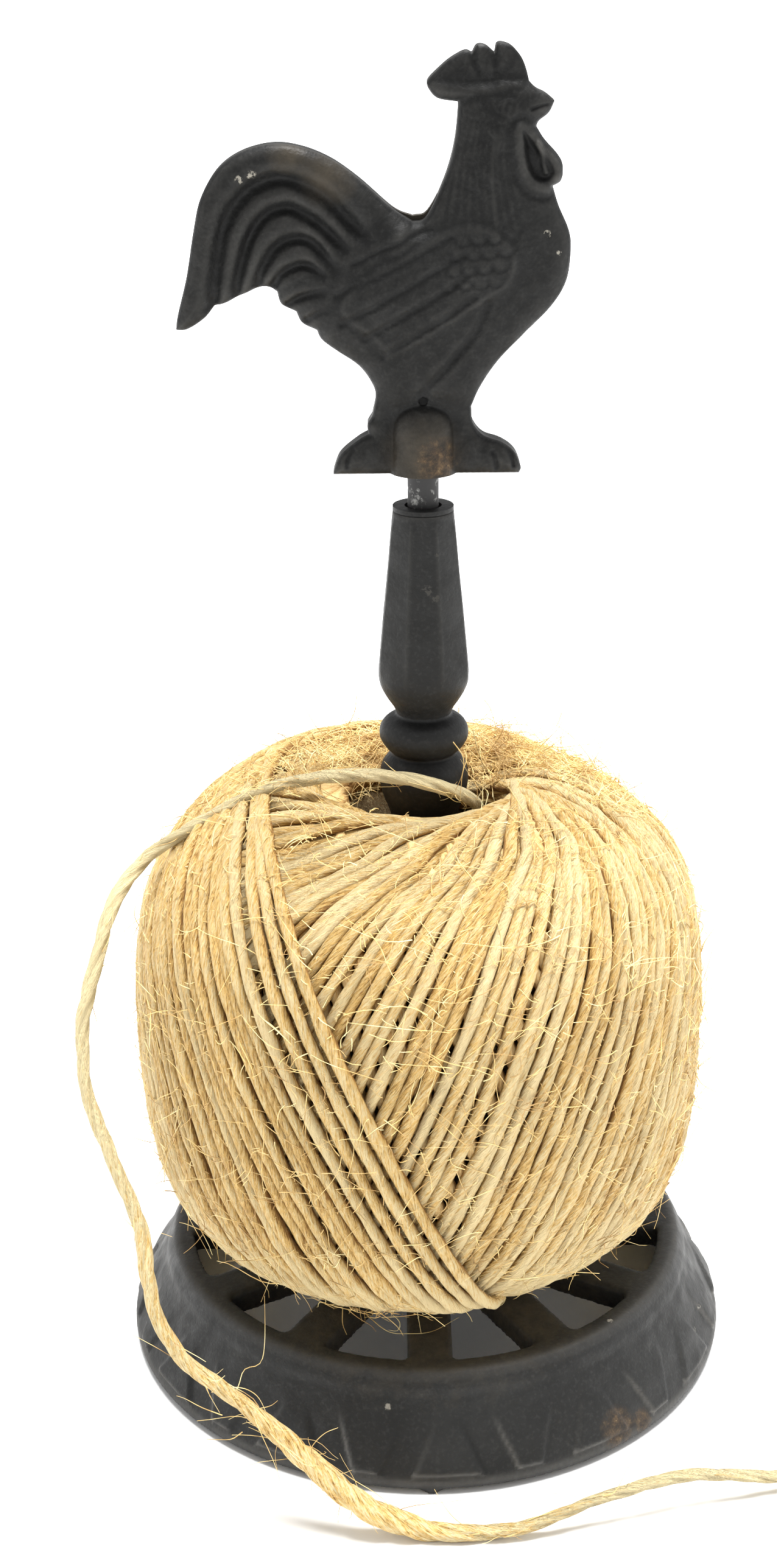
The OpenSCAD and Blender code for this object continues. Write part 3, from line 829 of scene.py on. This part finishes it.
# Grooves and ridges: (line, depth or height, half width)
TAIL_GROOVES = [
    ([
        (-45.5, 37), (-44.7, 42), (-42.5, 53.5), (-39, 59.5), (-34.5, 63), (-29, 64),
        (-23.5, 62), (-19, 58.8), (-11.5, 50.5),
    ], 2.1, 1.9),
    ([
        (-40.2, 39.5), (-40, 42), (-38, 49), (-36, 53.5), (-32.5, 57), (-28.5, 58), (-24, 56),
        (-20, 52.8), (-17, 49.5),
    ], 2.1, 1.6),
    ([
        (-35.8, 41), (-35, 44), (-33, 47.7), (-30.7, 50.3), (-27.3, 51.6), (-24, 51), (-21, 48),
        (-18.6, 45),
    ], 1.9, 1.5),
    ([(-32, 42), (-30.5, 44), (-28, 45.6), (-24.7, 46), (-21.5, 44)], 1.4, 1.2),
    ([(-29, 38), (-26.5, 39.3), (-24, 40), (-21.4, 40.5)], 1.1, 1.0),
    ([(-25, 34.5), (-22.5, 36), (-19.5, 37)], 0.9, 0.9),
]
# The wing's feathers, then lines on the thigh, face, toes and comb
FINE_GROOVES = [
    ([(6, 52), (0, 48.6), (-7, 45), (-18.5, 40)], 0.4, 0.9),
    ([(8.5, 48.3), (2, 44.4), (-6, 40), (-17.5, 34)], 0.42, 0.9),
    ([(9, 43.8), (4, 40.4), (-3, 36.4), (-12.5, 30.8)], 0.42, 0.9),
    ([(11, 39.7), (6, 36), (0, 32.4), (-8.6, 27)], 0.4, 0.9),
    ([(2, 53.5), (-6, 50.5), (-14.5, 46.5)], 0.45, 0.8),
    ([(14, 38), (11, 31.5), (6, 25.5), (-0.4, 18.5)], 0.55, 1.0),
    ([(8, 79.7), (13, 80.6), (18, 81.2), (22.4, 82.6)], 0.22, 1.0),
    ([(27.3, 79), (25, 78.6), (23, 78)], 0.5, 0.4),
    ([(18.6, 5.8), (19.6, 4), (20, 2)], 0.7, 0.5),
    ([(15.4, 5.2), (16, 3.4), (16.2, 1.6)], 0.5, 0.5),
    ([(-15.6, 5.6), (-16.6, 4), (-17, 2)], 0.5, 0.5),
    ([(10.8, 88.8), (11, 87), (11.8, 85.4)], 0.5, 0.7),
    ([(15.3, 88.8), (15.3, 87), (15.6, 85.4)], 0.5, 0.7),
]
RIDGES = [
    ([(16.5, 82.9), (19, 83), (22, 82.4), (25.5, 80.9)], 0.4, 1.0),
    ([(24.3, 71), (25.4, 67.8), (26.2, 65)], 0.9, 0.7),
]
EYE = (18.3, 78.2)
SCREW_HOLE = (0, 16.6)
BOSS_R = 7.6
BOSS_DOME = 9.2
ROD_MOUTH = 3.9
RELIEF_STEP = 0.3


def rooster_outline():
    parts = []
    for before, run in zip(ROOSTER_RUNS[-1:] + ROOSTER_RUNS, ROOSTER_RUNS):
        run = before[-1:] + run
        line = smooth_curve(run, 6) if len(run) > 2 else np.linspace(*run, 60)
        parts.append(line[:-1])
    return np.vstack(parts)


def closed_curve(points):
    n = 6
    line = smooth_curve(points[-2:] + points + points[:2], n)
    return line[2 * n : -n][: len(points) * n]


def segment_distance(points, a, b):
    """Distance from each point to the nearest of the segments a-b, and the nearest place."""
    ab = b - a
    length = np.maximum((ab**2).sum(1), 1e-12)
    best, place = [], []
    for p in np.array_split(points, len(points) // 20000 + 1):
        t = np.clip(((p[:, None] - a) * ab).sum(2) / length, 0, 1)
        q = a + t[..., None] * ab
        d = np.linalg.norm(q - p[:, None], axis=2)
        rows, k = np.arange(len(p)), d.argmin(1)
        best.append(d[rows, k])
        place.append(q[rows, k])
    return np.concatenate(best), np.concatenate(place)


def inside(points, loop):
    x, y = points[:, 0], points[:, 1]
    result = np.zeros(len(points), bool)
    for (x1, y1), (x2, y2) in zip(loop, np.roll(loop, -1, 0)):
        if y1 == y2:
            continue
        crosses = (y1 > y) != (y2 > y)
        result ^= crosses & (x < (x2 - x1) * (y - y1) / (y2 - y1) + x1)
    return result


def depth_inside(points, loop):
    """Distance from the edge of a closed loop, positive inside."""
    d, _ = segment_distance(points, loop, np.roll(loop, -1, 0))
    return np.where(inside(points, loop), d, -d)


def dome(x):
    x = np.clip(x, 0, 1)
    return np.sqrt(1 - (1 - x) ** 2)


def from_screw_hole(points):
    return np.hypot(points[:, 0] - SCREW_HOLE[0], points[:, 1] - SCREW_HOLE[1])


def rooster_relief(points, depth):
    """Half thickness of the rooster over (x, height) points, depth inside its outline."""
    x, h = points[:, 0], points[:, 1]

    def near(line, width, n=6):
        line = smooth_curve(line, n)
        return bell(segment_distance(points, line[:-1], line[1:])[0], width)

    edge, flat, body = 2.3, 4.9, 3.2
    in_body = depth_inside(points, closed_curve(BODY_EDGE))
    in_wing = depth_inside(points, closed_curve(WING_EDGE))
    comb = ease((h - 81) / 3)
    swell = 0.25 * ease((in_body + 5) / 9) + 0.75 * ease((in_body + 2) / 17)
    between_legs = ease((12.5 - np.abs(x)) / 6) * ease((20 - h) / 8)
    top = flat - 1.3 * comb + body * swell - 1.5 * between_legs
    t = edge + (top - edge) * dome(depth / 4.2)
    t += 0.55 * ease((in_wing + 0.6) / 1.8) * ease(depth / 3)
    for line, cut, width in TAIL_GROOVES:
        t -= cut * near(line, width) * ease((depth + 1.5) / 3) * ease((4 - in_body) / 9)
    for line, cut, width in FINE_GROOVES:
        t -= cut * near(line, width) * ease(depth / 1.5)
    for line, rise, width in RIDGES:
        t += rise * near(line, width)
    in_wattle = depth_inside(points, closed_curve(WATTLE))
    t += 0.6 * bell(in_wattle, 1.1) * ease(depth / 0.8)
    t -= 1.4 * ease((in_wattle - 0.6) / 1.7)
    t -= 0.3 * bell(in_wattle + 2, 0.9) * ease((x - 15) / 4) * ease(depth / 2)
    # Hackles down the neck
    for u in np.arange(9) / 8:
        line = [(9.4 + 8.5 * u, 76 - 1.5 * u), (6.8 + 11 * u, 66), (4.8 + 16 * u, 55 - 1.5 * u)]
        t -= 0.13 * near(line, 0.5, 4) * ease(depth / 2)
    # Scales on the shoulder
    for row in range(4):
        for col in range(4):
            cx, ch = 8.6 + 3.3 * col - 1.0 * row, 52.0 - 3.1 * row + 0.35 * col
            ring = np.hypot(x - cx, h - ch)
            t -= 0.17 * bell(ring - 1.75, 0.6) * ease((ch - h + 0.9) / 1.4)
    # The knob at the saddle, the eye, the boss over the rod and the screw's hole
    t += 1.2 * np.exp(-(((x + 4.5) ** 2 + (h - 51.8) ** 2) / 8))
    from_eye = np.hypot(x - EYE[0], h - EYE[1])
    t += 0.14 * bell(from_eye - 1.5, 0.5) + 0.2 * bell(from_eye, 0.8)
    dome_h = np.maximum(h - BOSS_DOME, 0)
    boss = np.sqrt(np.maximum(BOSS_R**2 - x**2 - dome_h**2, 0))
    t = np.where(h < BOSS_DOME + BOSS_R, np.maximum(t, boss), t)
    t -= 3.5 * ease((0.95 - from_screw_hole(points)) / 0.3)
    rough = np.sin(x * 3.1 + 2 * np.sin(h * 1.3)) * np.sin(h * 2.7 + 2 * np.sin(x * 1.7))
    lumps = np.sin(x * 0.9 + 1.7 * np.sin(h * 0.4)) * np.sin(h * 0.8 + 1.5 * np.sin(x * 0.5))
    return t + 0.04 * rough + 0.08 * lumps


def raised_above_neighbours(values, faces, rounds):
    """How far each vertex's value stands above the average round it."""
    edges = np.vstack([faces[:, [i, (i + 1) % 4]] for i in range(4)])
    here, there = np.vstack([edges, edges[:, ::-1]]).T
    count = np.maximum(np.bincount(here, minlength=len(values)), 1)
    smooth = values
    for _ in range(rounds):
        smooth = np.bincount(here, weights=smooth[there], minlength=len(values)) / count
    return values - smooth


def outline_cells(outline, step):
    """The points and square cells inside an outline, and the edges along the cells' rim."""
    lo, hi = outline.min(0) - step, outline.max(0) + step
    nx, nh = np.ceil((hi - lo) / step).astype(int)
    gx, gh = lo[0] + step * np.arange(nx + 1), lo[1] + step * np.arange(nh + 1)
    grid = np.stack(np.meshgrid(gx, gh, indexing="ij"), -1).reshape(-1, 2)
    index = np.arange(len(grid)).reshape(nx + 1, nh + 1)
    corners = [index[:-1, :-1], index[1:, :-1], index[1:, 1:], index[:-1, 1:]]
    cells = np.stack(corners, -1).reshape(-1, 4)
    cells = cells[inside(grid[cells].mean(1), outline)]
    used, cells = np.unique(cells, return_inverse=True)
    cells, points = cells.reshape(-1, 4), grid[used]
    edges = np.stack([cells, np.roll(cells, -1, 1)], -1).reshape(-1, 2)
    both_ways = np.sort(edges, 1)
    _, first, count = np.unique(both_ways, axis=0, return_index=True, return_counts=True)
    return points, cells, edges[first[count == 1]]


def build_rooster_half(name, sign, saddle, material):
    """One cast half as a fine relief mesh: sign -1 is the -Y side, saddle a rise of its edge."""
    outline = rooster_outline()
    following = np.roll(outline, -1, 0)
    points, cells, rim = outline_cells(outline, RELIEF_STEP)
    on_rim = np.unique(rim)
    points[on_rim] = segment_distance(points[on_rim], outline, following)[1]
    depth = segment_distance(points, outline, following)[0]
    depth[on_rim] = 0
    thick = np.maximum(rooster_relief(points, depth), 0.6)
    shade = np.clip(raised_above_neighbours(thick, cells, 14) * 1.3, -1, 1)
    shade = np.where(from_screw_hole(points) < 2.5, np.minimum(shade, 0), shade)
    shade[on_rim] = 0.4
    x, h = points.T.copy()
    h += saddle * bell(x + 1, 3) * ease((h - 46) / 9) * (h < 60)
    face = columns(x, sign * thick, h + FEET_Z)
    middle = face * (1, 0, 1)
    wall_back = middle[on_rim]
    mouth = (np.abs(points[:, 0]) < ROD_MOUTH) & (points[:, 1] < 12)
    mouth_half = np.sqrt(np.maximum(ROD_MOUTH**2 - points[on_rim, 0] ** 2, 0))
    wall_back[:, 1] += sign * np.where(points[on_rim, 1] < 0.01, mouth_half, 0)
    n, m = len(face), len(on_rim)
    place = np.zeros(n, int)
    place[on_rim] = np.arange(m)
    p, q = place[rim[:, 0]], place[rim[:, 1]]
    walls = columns(n + p, n + m + p, n + m + q, n + q)
    closed = cells[~mouth[cells].any(1)]
    faces = np.vstack([cells, walls, closed[:, ::-1] + n + 2 * m])
    verts = np.vstack([face, face[on_rim], wall_back, middle])
    if sign > 0:
        faces = faces[:, ::-1]
    shade = np.concatenate([shade, np.full(m, 0.25), np.zeros(m + n)])
    return add_piece(make_object(name, verts, faces, shade=shade), "rooster", material)


# ---- base and column ----

SKIRT_FOOT_R, SKIRT_LIP = 75, 3
PLATE_R, PLATE_Z = 63.5, 26
SKIRT_SLOPE = (SKIRT_FOOT_R - PLATE_R) / (PLATE_Z - SKIRT_LIP)
# The raised fields of the skirt's pattern: heights, then (angle, width at the foot, at the top)
FIELD_LOW, FIELD_HIGH = 4.8, 15.5
FIELDS = [
    (30 * i + angle, *widths)
    for i in range(12)
    for angle, *widths in ((18, 5.8, 15), (3, 15.8, 5.8))
]
COLUMN_TOP = 212.7
# The column's outline: (radius, height), each run starting where the one before it ends
COLUMN_EDGE = [
    [(12, 26.1), (12, 29), (9.5, 32), (7, 37), (6.4, 44)],
    [
        (7, 62), (8.2, 90), (9.2, 118), (8.8, 130), (7.8, 137), (8.4, 140.4), (9.6, 143.4),
        (10.3, 146.4), (10.4, 148.8), (9.9, 151.3), (8.7, 153.2), (7.4, 154.5),
    ],
    [(8.8, 155.8), (10, 157.6), (10.4, 159.2), (10, 161.2), (8.6, 162.8), (6.3, 163.8)],
    [
        (7, 165.8), (8.6, 168.2), (10.1, 171.2), (10.5, 174), (10.2, 178.5), (9.2, 189),
        (8.3, 198), (7.5, 207), (6.9, 212.6),
    ],
]


def softened(source, name):
    """A copy of a CAD node with its edges softened as a sand casting's are."""
    obj = bpy.data.objects.new(name, source.data.copy())
    bpy.context.scene.collection.objects.link(obj)
    shape = obj.modifiers.new("shape", "REMESH")
    shape.mode, shape.voxel_size = "VOXEL", 0.77 * MM
    soften = obj.modifiers.new("soften", "SMOOTH")
    soften.factor, soften.iterations = 0.5, 3
    finished = obj.evaluated_get(bpy.context.evaluated_depsgraph_get())
    mesh = bpy.data.meshes.new_from_object(finished)
    obj.modifiers.clear()
    obj.data = mesh
    mesh.shade_smooth()
    return obj


def skirt_field(angle, z, centre, low_w, high_w):
    """Relief (0 to 1) of one raised field of the skirt's pattern, and the painted light along its
    edges: painted highlights on the bottom and left, painted shade on the right.
    """
    around = (angle - centre + 180) % 360 - 180
    u = np.radians(around) * SKIRT_FOOT_R
    up = (z - FIELD_LOW) / (FIELD_HIGH - FIELD_LOW)
    half = (low_w + (high_w - low_w) * up) / 2
    slope = math.cos(math.atan((high_w - low_w) / 2 / (FIELD_HIGH - FIELD_LOW)))
    left, right = (u + half) * slope, (half - u) * slope
    bottom, top = z - FIELD_LOW, FIELD_HIGH + 2 - z
    inward = np.minimum(np.minimum(left, right), bottom)
    fade = ease(top / 7)
    relief = ease(inward / 1.0 + 0.5) * fade
    near_left = bell(left, 0.55) * (bottom > -0.6) * fade
    near_bottom = bell(bottom, 0.5) * ((left > -0.5) & (right > -0.5))
    near_right = bell(right + 0.5, 0.8) * (bottom > -0.4) * fade
    # Strength of the painted highlight on the left edge and of the painted shade on the right
    highlight_left, dark_right = (0.12, 0.8) if low_w > high_w else (0.58, 0.5)
    return relief, near_bottom * 0.6 + near_left * highlight_left - near_right * dark_right


def build_base(material):
    base = softened(NODES["base_casting"], "base_cast")
    mesh = base.data
    co = np.empty(len(mesh.vertices) * 3)
    mesh.vertices.foreach_get("co", co)
    co = co.reshape(-1, 3) / MM
    x, y, z = co.T
    r, angle = np.hypot(x, y), np.degrees(np.arctan2(y, x))
    cone = SKIRT_FOOT_R - (z - SKIRT_LIP) * SKIRT_SLOPE
    on_skirt = (r > cone - 1.6) & (z > SKIRT_LIP + 0.3) & (z < 22.5)
    # Painted highlights and painted shade along the edges of the skirt's fields, summed over the
    # fields
    relief, edge_light_and_shade = np.zeros(len(z)), np.zeros(len(z))
    for field in FIELDS:
        one, wear_and_painted_light = skirt_field(angle, z, *field)
        relief, edge_light_and_shade = np.maximum(relief, one), edge_light_and_shade + wear_and_painted_light
    blend = ease((z - SKIRT_LIP - 0.3) / 1.2) * ease((22.5 - z) / 2.5) * on_skirt
    rough = 0.1 * np.sin(angle * 0.7 + np.sin(z * 0.5) * 2) * np.sin(z * 0.6 + angle * 0.31)
    new_r = r + ((cone + 0.85 * relief + rough) - r) * blend
    co[:, :2] = co[:, :2] * new_r[:, None] / np.maximum(r, 1e-6)[:, None]
    mesh.vertices.foreach_set("co", (co * MM).ravel())
    rim_edge = bell(r - 63.6, 1.2) * (z > 24) * 0.25
    foot_edge = bell(z - SKIRT_LIP, 0.9) * (r > 73) * 0.35
    # Painted light on the inside of the skirt, seen through the windows of the plate
    under = 0.5 * (z < 19.5) * (r < cone - 2)
    shade = np.clip(edge_light_and_shade * on_skirt + rim_edge + foot_edge + under, -1, 1)
    set_shade(mesh, shade)
    mesh.update()
    add_piece(base, "stand", material)
    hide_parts("base_casting")


def build_column(material):
    runs = [before[-1:] + run for before, run in zip([[]] + COLUMN_EDGE, COLUMN_EDGE)]
    profile = np.vstack([smooth_curve([(r, 0, z) for r, z in run], 8) for run in runs])
    profile = np.vstack([profile, [(6.6, 0, COLUMN_TOP), (3.6, 0, COLUMN_TOP)]])
    verts, faces = lathe(even_steps(profile, 0.7)[0][:, [0, 2]], 192)
    x, y, z = verts.T
    angle = np.degrees(np.arctan2(y, x)) + 90
    # Eight flats on the upper part
    off_flat = (angle + 22.5) % 45 - 22.5
    octagon = 1 / np.cos(np.radians(off_flat)) - 1
    faceted = ease((z - 170) / 9) * ease((213.2 - z) / 5)
    swell = 1 + faceted * (0.75 * octagon - 0.006)
    turn = np.radians(angle)
    grain = 1 + 0.0035 * np.sin(9 * turn + z) * np.sin(z * 0.8 + 5 * turn)
    verts[:, :2] *= (swell * grain)[:, None]
    shade = faceted * 0.13 * bell(np.abs(off_flat) - 22.5, 3) + 0.3 * bell(z - 212.4, 0.5)
    shade -= 0.6 * bell(z - 163.8, 1.0) + 0.6 * bell(z - 154.5, 1.0)
    turned = make_object("column_turned", verts, faces, shade=shade)
    column = add_piece(turned, "column", material)
    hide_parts("column")


# ---- stage ----


def build_camera():
    data = bpy.data.cameras.new("camera")
    data.sensor_width = SENSOR
    data.lens = FOCAL_IN_IMAGE / IMAGE_LONG_SIDE * SENSOR
    data.clip_start, data.clip_end = 0.01, 20
    camera = bpy.data.objects.new("camera", data)
    tilt = Matrix.Rotation(math.pi / 2 - CAMERA_DOWN, 4, "X") @ Matrix.Rotation(CAMERA_ROLL, 4, "Z")
    camera.matrix_world = Matrix.Translation(CAMERA_AT) @ tilt
    bpy.context.scene.collection.objects.link(camera)
    bpy.context.scene.camera = camera


def soft_sun():
    data = bpy.data.lights.new("overhead", "SUN")
    data.energy, data.angle = SUN_POWER, SUN_SPREAD
    light = bpy.data.objects.new("overhead", data)
    light.matrix_world = SUN_TOWARDS.to_track_quat("-Z", "Y").to_matrix().to_4x4()
    bpy.context.scene.collection.objects.link(light)


def white_room():
    """White all round, dimmer on the near side of the room; the camera sees plain white."""
    world = bpy.data.worlds.new("white")
    n = Nodes(world)
    towards = n.add("SeparateXYZ", Vector=n.add("TexCoord").outputs["Generated"]).outputs
    depth = {"From Min": -0.9, "From Max": 0.5, "To Min": ROOM_NEAR, "To Max": ROOM_FAR}
    level = n.add("MapRange", Value=towards["Y"], **depth).outputs["Result"]
    flank = n.times(towards["X"], towards["X"])
    lit = n.math("MULTIPLY_ADD", flank, ROOM_SIDES, level)
    seen = n.add("LightPath").outputs["Is Camera Ray"]
    background = n.tree.nodes["Background"]
    n.feed(n.add("Mix", Factor=seen, A=lit, B=1.0).outputs["Result"], background.inputs["Strength"])
    n.feed((1, 1, 1), background.inputs["Color"])
    bpy.context.scene.world = world


def build_stage():
    n = Material("floor_white")
    clouds = n.noise(n.object_point(), 3, 2)
    color = n.ramp(clouds, (0.3, (0.86, 0.86, 0.855)), (0.7, (0.89, 0.89, 0.885)))
    size = 20000
    corners = [(-size, -size, 0), (size, -size, 0), (size, size, 0), (-size, size, 0)]
    floor = make_object("floor", corners, [(0, 1, 2, 3)], smooth=False)
    floor.data.materials.append(n.finish(color, 0.8))
    white_room()
    soft_sun()
    bpy.context.scene.view_settings.view_transform = "Standard"


build_camera()
twine_mat = sisal("sisal_twine", (0.98, 0.78, 0.42), (0.88, 0.56, 0.175), (0.4, 0.19, 0.045), 1.6)
loose_mat = sisal("sisal_loose", (0.98, 0.82, 0.47), (0.86, 0.56, 0.18), (0.3, 0.14, 0.03), 1.8)
under_mat = sisal("sisal_under", (0.97, 0.72, 0.34), (0.84, 0.53, 0.2), (0.5, 0.27, 0.09))
core_mat = sisal("sisal_core", (0.8, 0.66, 0.4), (0.55, 0.42, 0.22), (0.28, 0.18, 0.08), 1.5)
fibre_mat = hair_fibre()
build_tail(loose_mat, fibre_mat)
build_ball(twine_mat, under_mat, core_mat, fibre_mat)

rooster_iron = cast_iron(
    "rooster_iron", 0.007,
    brown=[((-20, -5, 286), 9), ((-28, -5, 291), 7), ((0, -7, 226), 14)],
    rust=[((3.2, -6.5, FEET_Z + 4), 8.5)],
    chips=[
        ((-36, -5, 286.5), 1.6), ((-38.6, -5, 285.6), 1.4), ((26.5, -6, 274), 1.2),
        ((29, -5, 270), 0.9), ((-25, -5, 291.2), 1.1),
    ],
    wear_and_painted_light=0.4,
    gloss=0.17,
)
rooster_back_iron = cast_iron(
    "rooster_back_iron", 0.008, brown=[((0, 0, 276), 16)], wear_and_painted_light=0.45, gloss=0.17
)
front = build_rooster_half("rooster_front_cast", -1, 0.0, rooster_iron)
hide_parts("rooster_front")
back = build_rooster_half("rooster_back_cast", 1, 1.0, rooster_back_iron)
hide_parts("rooster_back")

# The two wide brown spots over the plate are lighter than the iron: brownish discoloration that is
# also painted light, lifting the plate in the shade of the ball
base_iron = cast_iron(
    "base_iron", 0.0125,
    brown=[((0, -20, 30), 62), ((0, 30, 30), 62)],
    stain_and_painted_light=(0.13, 0.106, 0.072),
    rust=[((44, -59, 5.5), 8.5), ((50, -54, 4), 5)],
    chips=[
        ((-10, -67, 18.5), 1.3), ((43, -45, 25.5), 1.2), ((40, -62, 5), 1.0),
        ((66, -27, 10), 1.2), ((68, -20, 12), 0.9),
    ],
)
build_base(base_iron)
column_iron = cast_iron(
    "column_iron", 0.0105, wear_and_painted_light=0.6, gloss=0.22, bare=(0.035, 0.033, 0.029),
    chips=[
        ((0.6, -9, 196), 2.2), ((2.4, -8.5, 194.5), 1.6), ((3, -8, 204.5), 1.2),
        ((2, -9, 180), 1.0),
    ],
)
build_column(column_iron)


def reskin(node, material):
    for slot in NODES[node].material_slots:
        slot.material = material


reskin("column_cap", column_iron)
reskin("spindle_rod", worn_rod())
steel = plain_steel()
for node in ("base_washer", "base_lock_washer", "base_nut", "socket_bush", "rooster_dowels"):
    reskin(node, steel)
# Near-black screw head: painted shade for the hole it sits in
reskin("rooster_screw", cast_iron("screw_black", 0.004, gloss=0.1))

build_stage()
